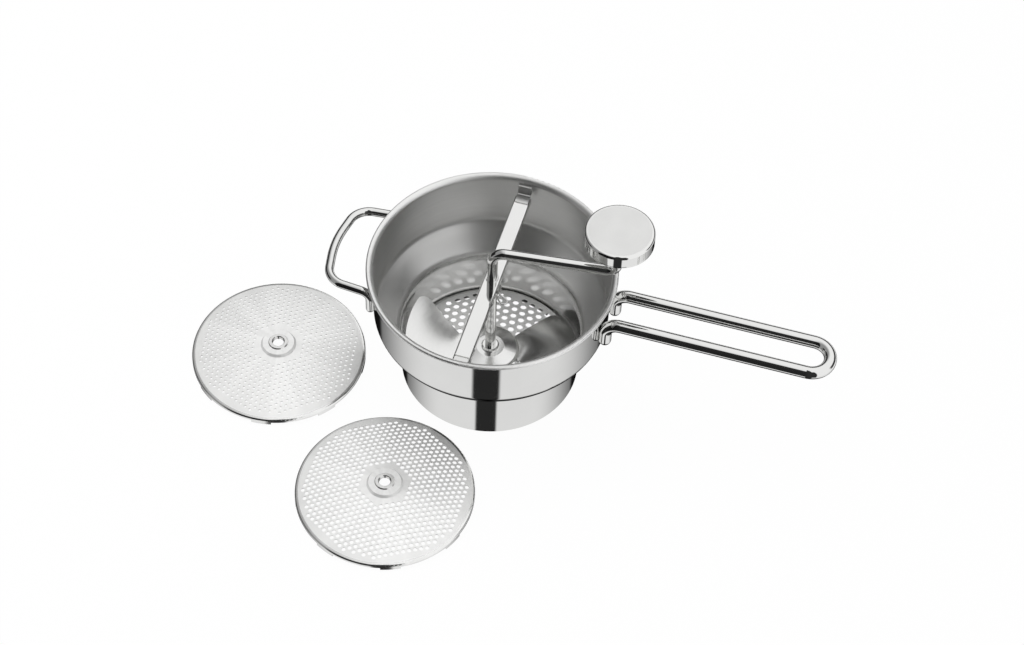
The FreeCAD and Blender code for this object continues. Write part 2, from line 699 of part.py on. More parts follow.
def make_crank_rod():
    """Shaft, arm and knob pin, bent from one rod and turned down at both ends."""
    rod = size("shaft_radius")
    spigot = size("spigot_radius")
    arm = polar(size("arm_radius"), size("arm_turn"))
    foot = size("sieve_drop") + dome_height(0) - 2 * size("wall")
    inside = size("knob_bottom") + size("knob_height") - size("knob_sheet")
    pin_top = inside - size("pin_headroom") + size("pin_proud")
    points = [
        V(0, 0, foot),
        V(0, 0, size("arm_height")),
        V(arm.x, arm.y, size("arm_height")),
        V(arm.x, arm.y, pin_top),
    ]
    shape = bent_rod(points, [size("arm_bend"), size("grip_bend")], rod)
    seat = blade_seat() + size("bar_sheet")
    lower_cut = Part.makeCylinder(2 * rod, seat - foot + 1, V(0, 0, foot - 1))
    lower_cut = lower_cut.cut(Part.makeCylinder(spigot, seat - foot + 1, V(0, 0, foot - 1)))
    shoulder = size("knob_bottom") - size("knob_neck_height") - size("bar_sheet")
    upper_cut = Part.makeCylinder(2 * rod, pin_top - shoulder + 1, V(arm.x, arm.y, shoulder))
    upper_cut = upper_cut.cut(Part.makeCylinder(spigot, pin_top - shoulder + 1, V(arm.x, arm.y, shoulder)))
    hole = size("clip_wire") + size("clip_hole")
    hole_start = polar(2 * rod, size("clip_turn") + 180, clip_height())
    clip_hole = Part.makeCylinder(hole, 4 * rod, hole_start, polar(1, size("clip_turn")))
    return keep(feature("crank_rod", shape.cut([lower_cut, upper_cut, clip_hole])), "crank_rod")


def clip_height():
    """The clip lies just under the washer."""
    return size("washer_top") - size("bar_sheet") - size("clip_wire") - size("clip_play")


def make_spring():
    """The spring that lifts the bar against its hooks and presses the blade on the sieve."""
    wire = size("spring_wire")
    low = size("washer_top") + wire
    high = size("bar_top") - size("bar_sheet") - wire - size("spring_play")
    coil = Part.makeHelix((high - low) / size("spring_turns"), high - low, size("spring_radius"))
    section = Part.Wire(Part.makeCircle(wire, V(size("spring_radius"), 0, 0), V(0, 1, 0)))
    shape = Part.Wire(coil).makePipeShell([section], True, True)
    shape.translate(V(0, 0, low))
    return keep(feature("spring", shape), "spring")


def make_clip():
    """A hairpin clip: one leg through the shaft, one leg round it, and an eye to pull it by."""
    wire = size("clip_wire")
    clear = size("shaft_radius") + wire + size("clip_clear")
    tail = size("clip_tail")
    leg = size("clip_leg")
    waist = size("clip_waist")
    bulge = size("shaft_radius") - size("clip_clear")
    pinch = size("clip_pinch")
    points = [
        V(-tail, 0, 0),
        V(leg, 0, 0),
        V(leg, clear, 0),
        V(waist, clear, 0),
        V((waist + bulge) / 2, clear - pinch, 0),
        V(bulge, clear, 0),
        V(-bulge, clear, 0),
        V(-tail, clear - pinch, 0),
    ]
    end_bend = 0.45 * clear
    small_bend = 2 * wire
    shape = bent_rod(points, [end_bend, end_bend] + 4 * [small_bend], wire)
    shape.rotate(CENTRE, UP, size("clip_turn"))
    shape.translate(V(0, 0, clip_height()))
    return keep(feature("shaft_clip", shape), "shaft_clip")


def make_rings():
    """The washers and collars that are turned in one piece."""
    turned("spring_washer", (
        ("shaft_radius + running", "washer_top - bar_sheet"),
        ("washer_radius", "washer_top - bar_sheet"),
        ("washer_radius", "washer_top"),
        ("shaft_radius + running", "washer_top"),
    ))


def wing_point(share, distance):
    """A point of a wing in plan: share runs from its leading edge (0) to its trailing edge (1)."""
    turn = math.radians(size("wing_lead") + share * (size("wing_trail") - size("wing_lead")))
    shift = size("wing_lead_shift") + share * (size("wing_trail_shift") - size("wing_lead_shift"))
    return V(
        distance * math.cos(turn) - shift * math.sin(turn),
        distance * math.sin(turn) + shift * math.cos(turn), 0,
    )


def wing_outline():
    """The wing's rounded outline seen from above, as a prism."""
    near = size("blade_dish") / 2
    far = 2 * size("blade_radius")
    corners = [wing_point(0, near)] + [wing_point(i / 4, far) for i in range(5)] + [wing_point(1, near)]
    wedge = Part.Face(Part.makePolygon(corners + corners[:1]))
    flat = wedge.common(Part.Face(Part.Wire(Part.makeCircle(size("blade_radius")))))
    corner = size("blade_corner")
    rounded = flat.Faces[0].makeOffset2D(-corner).makeOffset2D(corner)
    return rounded.extrude(V(0, 0, size("bowl_height")))


def wing_side(share, lifted):
    """A curve across the wing, from under the blade's middle to past its outer edge."""
    start = size("blade_hub") - 2 * size("bar_sheet")
    end = size("blade_radius") + 2 * size("bar_sheet")
    root = size("blade_hub")
    fade = 1 - share ** size("wing_fade")
    count = 9
    curve_points = []
    for j in range(count + 1):
        point = wing_point(share, start + (end - start) * j / count)
        distance = math.hypot(point.x, point.y)
        climb = (max(0.0, distance - root) / (size("blade_radius") - root)) ** size("wing_climb")
        over_sieve = blade_clear(min(distance, size("sieve_radius")))
        point.z = over_sieve + size("blade_rise") * climb * fade + lifted
        curve_points.append(point)
    curve = Part.BSplineCurve()
    curve.interpolate(curve_points)
    return curve.toShape(), curve_points[0], curve_points[-1]


def make_wing():
    """A sheet that lies on the sieve along its trailing edge and climbs towards its leading corner."""
    sections = []
    steps = 8
    for i in range(steps + 1):
        lower, lower_start, lower_end = wing_side(i / steps, 0.0)
        upper, upper_start, upper_end = wing_side(i / steps, size("bar_sheet"))
        ends = [
            Part.LineSegment(lower_end, upper_end).toShape(),
            Part.LineSegment(upper_start, lower_start).toShape(),
        ]
        sections.append(Part.Wire([lower, ends[0], upper, ends[1]]))
    return Part.makeLoft(sections, True, False).common(wing_outline())


def make_blade():
    """The wiper blade: a round raised middle with two wings."""
    thickness = size("bar_sheet")
    hub = size("blade_hub")
    seat = blade_seat()
    rim = blade_clear(hub) + size("hub_lift")
    middle = [
        V(hub, 0, rim),
        V(hub - size("hub_step"), 0, rim + size("hub_step")),
        V(size("blade_dish"), 0, seat),
        V(size("spigot_radius"), 0, seat),
    ]
    bends = [size("step_bend"), size("dish_bend")]
    section = bent_sheet([p + V(0, 0, thickness) for p in middle], bends, thickness)
    wing = make_wing()
    other = wing.copy()
    other.rotate(CENTRE, UP, 180)
    return keep(feature("blade", spun(section).fuse([wing, other])), "blade")


def make_blade_fixings():
    """The ferrule above the blade, and the pilot under it that turns in the sieve's hub."""
    seat_text = "sieve_drop + sieve_lug + sieve_edge + sieve_dome + boss_height + hub_height + blade_gap"
    turned("blade_ferrule", (
        ("shaft_radius", "bar_sheet"),
        ("ferrule_radius", "bar_sheet"),
        ("ferrule_radius", "bar_sheet + ferrule_height - ferrule_chamfer"),
        ("ferrule_radius - ferrule_chamfer", "bar_sheet + ferrule_height"),
        ("shaft_radius", "bar_sheet + ferrule_height"),
    ), seat_text)
    turned("blade_pilot", (
        ("spigot_radius", "0"),
        ("spigot_radius", "-boss_height - hub_height - blade_gap - wall"),
        ("hub_bore - running - pilot_chamfer", "-boss_height - hub_height - blade_gap - wall"),
        ("hub_bore - running", "-boss_height - hub_height - blade_gap - wall + pilot_chamfer"),
        ("hub_bore - running", "0"),
    ), seat_text)


# ---------------------------------------------------------------- knob


def on_pin(body):
    """Moves a turned piece from the bowl's axis to the axis of the knob."""
    body.setExpression("Placement.Base.x", formula("arm_radius * cos(arm_turn * 1deg)"))
    body.setExpression("Placement.Base.y", formula("arm_radius * sin(arm_turn * 1deg)"))
    return body


def make_knob():
    """A hollow knob: a deep cap over a base plate, both on a bush that turns on the pin."""
    seam = "knob_base_height"
    cap = turned("knob_cap", (
        ("0", "knob_height"),
        ("knob_radius", "knob_height"),
        ("knob_radius", seam),
        ("knob_radius - knob_sheet", seam),
        ("knob_radius - knob_sheet", "knob_height - knob_sheet"),
        ("0", "knob_height - knob_sheet"),
    ), "knob_bottom")
    round_edge(cap, "knob_radius", "knob_height", "knob_edge")
    on_pin(cap)
    base = turned("knob_base", (
        ("knob_bush", "-knob_neck_height"),
        ("knob_neck", "-knob_neck_height"),
        ("knob_neck + knob_neck_height", "0"),
        ("knob_radius - knob_chamfer", "0"),
        ("knob_radius", "knob_chamfer"),
        ("knob_radius", "knob_base_height - knob_seam"),
        ("knob_radius - knob_seam", "knob_base_height"),
        ("knob_radius - knob_sheet - knob_spigot", "knob_base_height"),
        ("knob_radius - knob_sheet - knob_spigot", "knob_sheet"),
        ("knob_bush", "knob_sheet"),
    ), "knob_bottom")
    on_pin(base)
    bush = turned("knob_bush", (
        ("spigot_radius + running", "-knob_neck_height"),
        ("knob_bush", "-knob_neck_height"),
        ("knob_bush", "knob_height - knob_sheet - pin_headroom - retainer_height - retainer_play"),
        (
            "spigot_radius + running",
            "knob_height - knob_sheet - pin_headroom - retainer_height - retainer_play",
        ),
    ), "knob_bottom")
    on_pin(bush)
    washer = turned("knob_washer", (
        ("spigot_radius", "-knob_neck_height - bar_sheet"),
        ("knob_bush + washer_lip", "-knob_neck_height - bar_sheet"),
        ("knob_bush + washer_lip", "-knob_neck_height - retainer_play"),
        ("spigot_radius", "-knob_neck_height - retainer_play"),
    ), "knob_bottom")
    on_pin(washer)
    rivet = turned("pin_retainer", (
        ("spigot_radius", "knob_height - knob_sheet - pin_headroom - retainer_height"),
        ("knob_bush - knob_sheet", "knob_height - knob_sheet - pin_headroom - retainer_height"),
        ("knob_bush - knob_sheet", "knob_height - knob_sheet - pin_headroom"),
        ("spigot_radius", "knob_height - knob_sheet - pin_headroom"),
    ), "knob_bottom")
    on_pin(rivet)


def round_edge(body, radius_text, height_text, round_text):
    """Rounds the one circular edge at that radius and height of a turned piece."""
    doc.recompute()
    base = body.Tip
    names = []
    for index, edge in enumerate(base.Shape.Edges, start=1):
        curve = edge.Curve
        if isinstance(curve, Part.Circle) and abs(curve.Radius - value(radius_text)) < 1e-6:
            if abs(curve.Center.z - value(height_text)) < 1e-6:
                names.append("Edge%d" % index)
    rounding = body.newObject("PartDesign::Fillet", body.Label + "_rounding")
    rounding.Base = (base, names)
    rounding.setExpression("Radius", formula(round_text))
    body.Tip = rounding


# ---------------------------------------------------------------- the whole mill

make_bowl()
make_hook("rear_hook", 90)
make_hook("front_hook", -90)
make_long_handle()
make_loop_handle()
make_crossbar()
make_bar_bush()
make_crank_rod()
make_spring()
make_rings()
make_clip()
make_blade()
make_blade_fixings()
make_knob()

for kind, lug_turn, x_text, y_text, z_text in (
    ("coarse", "lug_turn", "0", "0", "sieve_drop"),
    ("medium", "medium_lugs", "medium_x", "medium_y", "0"),
    ("fine", "fine_lugs", "fine_x", "fine_y", "0"),
):
    hole, pitch, grid_turn = size(kind + "_hole"), size(kind + "_pitch"), size(kind + "_turn")
    place = V(value(x_text), value(y_text), value(z_text))
    make_sieve(kind + "_sieve", hole, pitch, place, size(lug_turn), grid_turn)
    make_sieve_hub(kind + "_sieve_hub", x_text, y_text, z_text)

doc.recompute()
for thing in doc.Objects:
    if "Invalid" in thing.State or "Error" in thing.State:
        raise RuntimeError("%s did not build: %s" % (thing.Label, thing.State))
os.makedirs("parts", exist_ok=True)
for part in parts:
    shape = part.Shape
    if shape.isNull() or not shape.isValid() or not shape.Solids:
        raise RuntimeError("%s has no valid solid" % part.Label)
    shape.exportStep("parts/%s.step" % part.Label)
    print("%-18s %d solid, %.1f mm3" % (part.Label, len(shape.Solids), shape.Volume))
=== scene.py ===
"""Looks for a hand-cranked food mill in stainless steel, with two spare sieves beside it."""

import math

import bpy
from bpy.props import FloatProperty, FloatVectorProperty, PointerProperty
from mathutils import Matrix, Vector


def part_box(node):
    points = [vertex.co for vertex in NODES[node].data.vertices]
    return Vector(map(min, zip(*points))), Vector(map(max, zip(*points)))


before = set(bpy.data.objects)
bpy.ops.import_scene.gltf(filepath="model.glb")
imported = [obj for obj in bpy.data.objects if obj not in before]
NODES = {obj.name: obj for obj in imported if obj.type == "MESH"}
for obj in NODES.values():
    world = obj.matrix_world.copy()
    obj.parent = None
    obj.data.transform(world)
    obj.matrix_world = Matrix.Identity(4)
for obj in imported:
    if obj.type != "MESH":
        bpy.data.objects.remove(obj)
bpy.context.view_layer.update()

bl_info = {
    "name": "Food Mill Looks",
    "version": (1, 0, 0),
    "blender": (4, 5, 0),
    "location": "View3D > Sidebar > Food Mill",
    "description": "Finishes and stage for a hand-cranked food mill",
    "category": "Object",
}

MM = 0.001


# ---------------------------------------------------------------- shader maths

# A Mix node's sockets in colour mode, and a Mix Shader's, which share names and so go by number.
MIX_FACTOR, MIX_FIRST, MIX_SECOND = 0, 6, 7
MIX_RESULT = 2
SHADER_FACTOR, SHADER_FIRST, SHADER_SECOND = 0, 1, 2


class Wire:
    """A socket's value. Python's own operators turn it into Math nodes."""

    def __init__(self, shader, socket):
        self.shader = shader
        self.socket = socket

    def maths(self, operation, *values):
        node = self.shader.node("ShaderNodeMath", {"operation": operation}, dict(enumerate(values)))
        return Wire(self.shader, node.outputs[0])

    def __add__(self, other):
        return self.maths("ADD", self, other)

    def __sub__(self, other):
        return self.maths("SUBTRACT", self, other)

    def __rsub__(self, other):
        return self.maths("SUBTRACT", other, self)

    def __mul__(self, other):
        return self.maths("MULTIPLY", self, other)

    def __truediv__(self, other):
        return self.maths("DIVIDE", self, other)

    def __pow__(self, other):
        return self.maths("POWER", self, other)

    __radd__ = __add__
    __rmul__ = __mul__

    def smooth(self, low, high):
        """0 below low, 1 above high, and a smooth ramp between."""
        node = self.shader.node(
            "ShaderNodeMapRange",
            {"interpolation_type": "SMOOTHSTEP"},
            {"Value": self, "From Min": low, "From Max": high},
        )
        return Wire(self.shader, node.outputs[0])


class Shader:
    """The node tree of one material or of the world."""

    def __init__(self, owner):
        owner.use_nodes = True
        self.owner = owner
        self.tree = owner.node_tree
        self.tree.nodes.clear()

    def node(self, kind, settings=None, sockets=None):
        """Adds a node: settings first, then the value or the link of each socket."""
        node = self.tree.nodes.new(kind)
        for key, value in (settings or {}).items():
            setattr(node, key, value)
        for key, value in (sockets or {}).items():
            if isinstance(value, Wire):
                self.tree.links.new(value.socket, node.inputs[key])
            else:
                node.inputs[key].default_value = value
        return node

    def wire(self, kind, output, settings=None, sockets=None):
        return Wire(self, self.node(kind, settings, sockets).outputs[output])

    def place(self):
        """The three Object coordinates of a point."""
        return self.split(self.wire("ShaderNodeTexCoord", "Object"))

    def split(self, vector):
        parts = self.node("ShaderNodeSeparateXYZ", None, {"Vector": vector})
        return [Wire(self, output) for output in parts.outputs]

    def vector(self, x, y, z):
        return self.wire("ShaderNodeCombineXYZ", 0, None, {"X": x, "Y": y, "Z": z})

    def noise(self, vector, scale, detail=3.0):
        return self.wire("ShaderNodeTexNoise", 0, None, {"Vector": vector, "Scale": scale, "Detail": detail})

    def mix(self, factor, one, other):
        """A colour between two colours."""
        sockets = {MIX_FACTOR: factor, MIX_FIRST: one, MIX_SECOND: other}
        return self.wire("ShaderNodeMix", MIX_RESULT, {"data_type": "RGBA"}, sockets)

    def bump(self, height, strength, distance):
        sockets = {"Height": height, "Strength": strength, "Distance": distance}
        return self.wire("ShaderNodeBump", "Normal", None, sockets)


def around(shader, centre):
    """Distance from a vertical axis, and the place measured from it, for a pattern made on a lathe."""
    x, y, z = shader.place()
    x = x - centre[0]
    y = y - centre[1]
    distance = (x * x + y * y) ** 0.5
    return distance, x, y, z


def surface(shader, colour, roughness, normal, metallic=1.0):
    """Ends a material and returns it."""
    sockets = {"Base Color": colour, "Roughness": roughness, "Metallic": metallic, "Normal": normal}
    principled = shader.wire("ShaderNodeBsdfPrincipled", 0, None, sockets)
    shader.node("ShaderNodeOutputMaterial", None, {"Surface": principled})
    return shader.owner


def new_shader(name):
    return Shader(bpy.data.materials.new(name))


# ---------------------------------------------------------------- finishes

AXIS = (0.0, 0.0)

# Where one finish, painted shade or painted highlight gives way to another. On the bowl: the rim's depth,
# heights above the table, and how nearly a face turns away from the axis, from -1 to 1.
RIM_DEPTH = 4.0 * MM
RIM_BLEND = 1.5 * MM
FOOT_END = (46.0 * MM, 56.0 * MM)
SHOULDER_END = (66.0 * MM, 78.0 * MM)
OUTSIDE = (-0.35, 0.15)

# On the knob: the width of the rounded edge, and depths under the top.
KNOB_EDGE = 2.6 * MM
KNOB_BLEND = 0.3 * MM
KNOB_TOP = (1.0 * MM, 0.5 * MM)

# On a sieve: distances in from its edge.
SIEVE_EDGE = (3.5 * MM, 1.5 * MM)


def steel_colour(shader, colour, speckle_and_painted_sheen, amount):
    """Steel that is darker by the amount where the mark, a random tone with any painted sheen in it, is 0."""
    darker = tuple(c * (1 - amount) for c in colour[:3]) + (1.0,)
    return shader.mix(speckle_and_painted_sheen, darker, tuple(colour[:3]) + (1.0,))


def polished_steel(name, finish):
    """Mirror-polished steel with faint waves and a few hazy patches."""
    shader = new_shader(name)
    place = shader.wire("ShaderNodeTexCoord", "Object")
    haze = shader.noise(place, scale=45.0, detail=4.0)
    waves = shader.noise(place, scale=22.0, detail=2.0)
    colour = steel_colour(shader, finish.steel, haze, amount=0.05)
    roughness = haze * 0.05 + finish.polish
    return surface(shader, colour, roughness, shader.bump(waves, strength=0.06, distance=0.6 * MM))


def brushed_strip(name, finish):
    """Satin strip, brushed along its height."""
    shader = new_shader(name)
    x, y, z = shader.place()
    stretch = 10.0
    grain = shader.noise(shader.vector(x * stretch, y * stretch, z), scale=160.0)
    colour = steel_colour(shader, finish.steel, grain, amount=0.12)
    roughness = grain * 0.08 + finish.satin
    return surface(shader, colour, roughness, shader.bump(grain, strength=0.08, distance=0.1 * MM))


def lathe_brushed(name, steel, centre, roughness, line_scale, depth):
    """Satin steel with fine rings round a vertical axis."""
    shader = new_shader(name)
    distance, x, y, z = around(shader, centre)
    rings = shader.noise(shader.vector(distance, z, 0.0), line_scale)
    cloud = shader.noise(shader.vector(x, y, z), scale=30.0)
    colour = steel_colour(shader, steel, rings * 0.6 + cloud * 0.4, amount=0.16)
    uneven = rings * 0.10 + cloud * 0.06 + (roughness - 0.08)
    return surface(shader, colour, uneven, shader.bump(rings, strength=0.25, distance=depth))


def knob_steel(name, finish, centre):
    """Brushed in rings on the flat top, and polished on the rounded edge and the side."""
    shader = new_shader(name)
    distance, x, y, z = around(shader, centre)
    low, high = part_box("knob_cap")
    flat = (high[0] - low[0]) / 2 - KNOB_EDGE
    within = 1 - distance.smooth(flat - KNOB_BLEND, flat + KNOB_BLEND)
    satin = within * z.smooth(high[2] - KNOB_TOP[0], high[2] - KNOB_TOP[1])
    rings = shader.noise(shader.vector(distance, 0.0, 0.0), scale=1500.0, detail=2.0)
    cloud = shader.noise(shader.vector(x, y, z), scale=60.0, detail=2.0)
    colour = steel_colour(shader, finish.steel, 1 - satin * (rings * 0.5 + cloud * 0.5), amount=0.14)
    roughness = satin * (cloud * 0.08 + finish.satin) + (1 - satin) * finish.polish
    return surface(shader, colour, roughness, shader.bump(rings * satin, strength=0.06, distance=0.1 * MM))


def bowl_steel(name, finish):
    """Polished outside; brushed in rings inside and on the rim; painted shade makes the inside darker, and a
    painted highlight makes the rim and the shoulder lighter.
    """
    shader = new_shader(name)
    squeeze = 0.4
    stretch = 12.0
    # Share of the painted highlight on the shoulder.
    shoulder_painted_highlight = 0.8
    foot_gloss = 0.36
    rim_dullness = 0.3
    distance, x, y, z = around(shader, AXIS)
    nx, ny, nz = shader.split(shader.wire("ShaderNodeNewGeometry", "Normal"))
    outward = (nx * x + ny * y) / distance.maths("MAXIMUM", distance, 1.0 * MM)
    rim_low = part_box("bowl")[1][2] - RIM_DEPTH
    inside = 1 - outward.smooth(*OUTSIDE)
    rim = z.smooth(rim_low, rim_low + RIM_BLEND)
    satin = inside.maths("MAXIMUM", inside, rim)
    rings = shader.noise(shader.vector(distance * squeeze, z, 0.0), scale=900.0)
    streaks = shader.noise(shader.vector(x, y, z * stretch), scale=26.0)
    haze = shader.noise(shader.vector(x, y, z), scale=40.0, detail=4.0)
    colour = steel_colour(shader, finish.steel, haze * 0.5 + rings * satin * 0.5, amount=0.12)
    # Painted shade: the inside faces take a darker copy of the same steel, the inside colour.
    colour = shader.mix(inside, colour, steel_colour(shader, finish.inside, streaks, amount=0.12))
    foot = 1 - z.smooth(*FOOT_END)
    shoulder = inside * (1 - foot) * (1 - z.smooth(*SHOULDER_END))
    # Painted highlight: the rim and the inside shoulder are lightened towards the sieve colour.
    painted_highlight = shoulder.maths("MAXIMUM", shoulder * shoulder_painted_highlight, rim)
    colour = shader.mix(painted_highlight, colour, tuple(finish.sieve) + (1.0,))
    rough_satin = (finish.satin + streaks * 0.10 + rings * 0.05) * (1 - foot * foot_gloss)
    rough_polish = haze * 0.04 + finish.polish
    roughness = rough_satin * satin * (1 + rim * rim_dullness) + rough_polish * (1 - satin)
    return surface(shader, colour, roughness, shader.bump(rings * satin, strength=0.12, distance=0.2 * MM))


def sieve_steel(name, finish, centre):
    """Satin sheet, brushed in rings, with soft rays of painted highlight and painted shade, lighter and
    darker steel round the hub, and a brighter edge.
    """
    shader = new_shader(name)
    distance, x, y, z = around(shader, centre)
    rings = shader.noise(shader.vector(distance, 0.0, 0.0), scale=1400.0, detail=2.0)
    # Painted highlight and shade: wedges round the hub stand in for the light that ring brushing catches and
    # loses.
    painted_sheen_rays = shader.noise(shader.vector(x / distance, y / distance, 0.0), scale=2.6, detail=2.0)
    cloud = shader.noise(shader.vector(x, y, z), scale=28.0)
    speckle_and_painted_sheen = rings * 0.25 + painted_sheen_rays.smooth(0.3, 0.7) * 0.5 + cloud * 0.25
    low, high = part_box(name)
    radius = (high[0] - low[0]) / 2
    edge = distance.smooth(radius - SIEVE_EDGE[0], radius - SIEVE_EDGE[1])
    colour = steel_colour(shader, finish.sieve, speckle_and_painted_sheen, amount=0.16)
    face_metallic = 0.35
    edge_roughness = 0.14
    satin = cloud * 0.08 + (finish.satin + 0.08)
    roughness = satin * (1 - edge) + edge * edge_roughness
    metallic = edge * (1 - face_metallic) + face_metallic
    return surface(shader, colour, roughness, shader.bump(rings, strength=0.05, distance=0.1 * MM), metallic)


def bush_plastic(name, finish):
    """White moulded acetal with a fine grain."""
    shader = new_shader(name)
    place = shader.wire("ShaderNodeTexCoord", "Object")
    grain = shader.noise(place, scale=900.0, detail=2.0)
    colour = steel_colour(shader, finish.bush, grain, amount=0.08)
    normal = shader.bump(grain, strength=0.1, distance=0.1 * MM)
    return surface(shader, colour, grain * 0.1 + 0.4, normal, metallic=0.0)


def dress(material, *names):
    """Puts a finish on CAD nodes."""
    for name in names:
        node = NODES[name]
        node.data.materials.clear()
        node.data.materials.append(material)


def centre_of(node):
    low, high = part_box(node)
    return (low[0] + high[0]) / 2, (low[1] + high[1]) / 2


# ---------------------------------------------------------------- settings


class MillFinish(bpy.types.PropertyGroup):
    steel: FloatVectorProperty(
        name="Steel", description="Colour of the stainless steel", subtype="COLOR", size=3,
        default=(0.83, 0.83, 0.82), min=0.0, max=1.0,
    )
    # Also used as the painted highlight on the bowl's rim and shoulder.
    sieve: FloatVectorProperty(
        name="Sieve", description="Colour of the satin steel of the sieves", subtype="COLOR", size=3,
        default=(0.93, 0.93, 0.92), min=0.0, max=1.0,
    )
    # Painted shade: a darker copy of the steel, used inside the bowl.
    inside: FloatVectorProperty(
        name="Inside", description="Colour of the brushed steel inside the bowl", subtype="COLOR", size=3,
        default=(0.74, 0.74, 0.73), min=0.0, max=1.0,
    )
    bush: FloatVectorProperty(
        name="Bush", description="Colour of the knob's bush", subtype="COLOR", size=3,
        default=(0.85, 0.85, 0.82), min=0.0, max=1.0,
    )
    polish: FloatProperty(
        name="Polish", description="Least roughness of the polished steel", default=0.035, min=0.0, max=1.0
    )
    satin: FloatProperty(
        name="Satin", description="Least roughness of the brushed steel", default=0.26, min=0.0, max=1.0
    )


class MillStage(bpy.types.PropertyGroup):
    floor: FloatProperty(
        name="Floor", description="Width of the floor", default=8.0, unit="LENGTH", min=1.0
    )
    eye: FloatVectorProperty(
        name="Eye", description="Place of the camera", subtype="XYZ", size=3,
        default=(0.3452, -1.2630, 1.7320), unit="LENGTH",
    )
    turn: FloatProperty(
        name="Turn", description="Turn of the camera about the vertical", subtype="ANGLE",
        default=math.radians(14.5),
    )
    tilt: FloatProperty(
        name="Tilt", description="How far the camera looks down", subtype="ANGLE", default=math.radians(52.04)
    )
    roll: FloatProperty(
        name="Roll", description="Roll of the camera", subtype="ANGLE", default=math.radians(2.276)
    )
    lens: FloatProperty(
        name="Lens", description="Focal length of the camera in millimetres", default=87.9, min=10.0
    )
    light: FloatProperty(
        name="Light", description="Level of the light from all round", default=0.62, min=0.0, max=2.0
    )


# ---------------------------------------------------------------- operators


class MILL_OT_bowl(bpy.types.Operator):
    """Finishes the bowl: polished outside, brushed inside"""

    bl_idname = "mill.bowl"
    bl_label = "Bowl"

    def execute(self, context):
        finish = context.scene.mill_finish
        dress(bowl_steel("bowl steel", finish), "bowl")
        return {"FINISHED"}


class MILL_OT_handles(bpy.types.Operator):
    """Polishes both handles"""

    bl_idname = "mill.handles"
    bl_label = "Handles"

    def execute(self, context):
        finish = context.scene.mill_finish
        dress(polished_steel("rod steel", finish), "long_handle", "loop_handle")
        return {"FINISHED"}


class MILL_OT_crossbar(bpy.types.Operator):
    """Finishes the crossbar, its bush and the two hooks that hold it"""

    bl_idname = "mill.crossbar"
    bl_label = "Crossbar"

    def execute(self, context):
        finish = context.scene.mill_finish
        dress(polished_steel("bar steel", finish), "crossbar", "bar_bush")
        dress(brushed_strip("hook steel", finish), "front_hook", "rear_hook")
        return {"FINISHED"}


class MILL_OT_crank(bpy.types.Operator):
    """Finishes the crank's rod and the small parts on its shaft"""

    bl_idname = "mill.crank"
    bl_label = "Crank"

    def execute(self, context):
        finish = context.scene.mill_finish
        dress(polished_steel("crank steel", finish), "crank_rod", "blade_ferrule", "knob_washer")
        turned = lathe_brushed(
            "turned steel", finish.steel, AXIS, roughness=finish.satin, line_scale=900.0, depth=0.2 * MM
        )
        dress(turned, "spring_washer", "blade_pilot")
        dress(polished_steel("spring steel", finish), "spring", "shaft_clip", "pin_retainer")
        return {"FINISHED"}


class MILL_OT_blade(bpy.types.Operator):
    """Finishes the blade, brushed very finely in rings"""

    bl_idname = "mill.blade"
    bl_label = "Blade"

    def execute(self, context):
        finish = context.scene.mill_finish
        fine = lathe_brushed(
            "blade steel", finish.sieve, AXIS, roughness=0.2, line_scale=500.0, depth=0.03 * MM
        )
        dress(fine, "blade")
        return {"FINISHED"}


class MILL_OT_knob(bpy.types.Operator):
    """Finishes the knob: a polished side, a top brushed in rings, and a white bush"""

    bl_idname = "mill.knob"
    bl_label = "Knob"

    def execute(self, context):
        finish = context.scene.mill_finish
        middle = centre_of("knob_cap")
        dress(knob_steel("knob steel", finish, middle), "knob_cap")
        dress(polished_steel("knob base steel", finish), "knob_base")
        dress(bush_plastic("knob bush", finish), "knob_bush")
        return {"FINISHED"}


class MILL_OT_sieves(bpy.types.Operator):
    """Finishes the fitted sieve, the two spare ones and their hubs"""

    bl_idname = "mill.sieves"
    bl_label = "Sieves"

    def execute(self, context):
        finish = context.scene.mill_finish
        for sieve in ("coarse_sieve", "medium_sieve", "fine_sieve"):
            dress(sieve_steel(sieve, finish, centre_of(sieve + "_hub")), sieve)
        # The polished side of the bowl stays free of the spare sieves.
        for spare in ("medium_sieve", "fine_sieve", "medium_sieve_hub", "fine_sieve_hub"):
            NODES[spare].visible_glossy = False
        for hub in ("coarse_sieve_hub", "medium_sieve_hub", "fine_sieve_hub"):
            turned = lathe_brushed(
                hub + " steel", finish.steel, centre_of(hub), roughness=0.2, line_scale=900.0, depth=0.2 * MM
            )
            dress(turned, hub)
        return {"FINISHED"}


class MILL_OT_stage(bpy.types.Operator):
    """Adds the floor, the light and the camera"""

    bl_idname = "mill.stage"
    bl_label = "Stage"

    def execute(self, context):
        stage = context.scene.mill_stage
        make_floor(stage)
        make_world(context.scene, stage)
        make_lamps()
        make_camera(context.scene, stage)
        context.scene.view_settings.view_transform = "Standard"
        return {"FINISHED"}


# ---------------------------------------------------------------- stage

# Polished metal mirrors a tent of light with dark patches in it. A pair holds the ends of a ramp
# and a four the ends of two, on how nearly a direction points to the front, to the left or to the
# back, or on its height, each from -1 to 1.
LOW_TENT = (-1.15, 0.5)  # front
LOW_TENT_LIGHT = 0.84
LOW_TENT_LEAST = 0.05
TENT_RISE = (-0.65, -0.35)  # height
LEFT_SHADE = (0.0, 0.6)  # left
LEFT_SHADE_DEPTH = 0.7

# The dark gap in front, narrow low down and wide higher up, each turned a little to one side.
NARROW_GAP = (0.964, 0.980)  # front
NARROW_GAP_TURN = math.radians(2.3)
WIDE_GAP = (0.72, 0.76)  # front
WIDE_GAP_TURN = math.radians(17.0)
WIDE_GAP_HEIGHTS = (-0.73, -0.68, 0.85, 0.91)  # height
GAP_DEPTH = 0.97

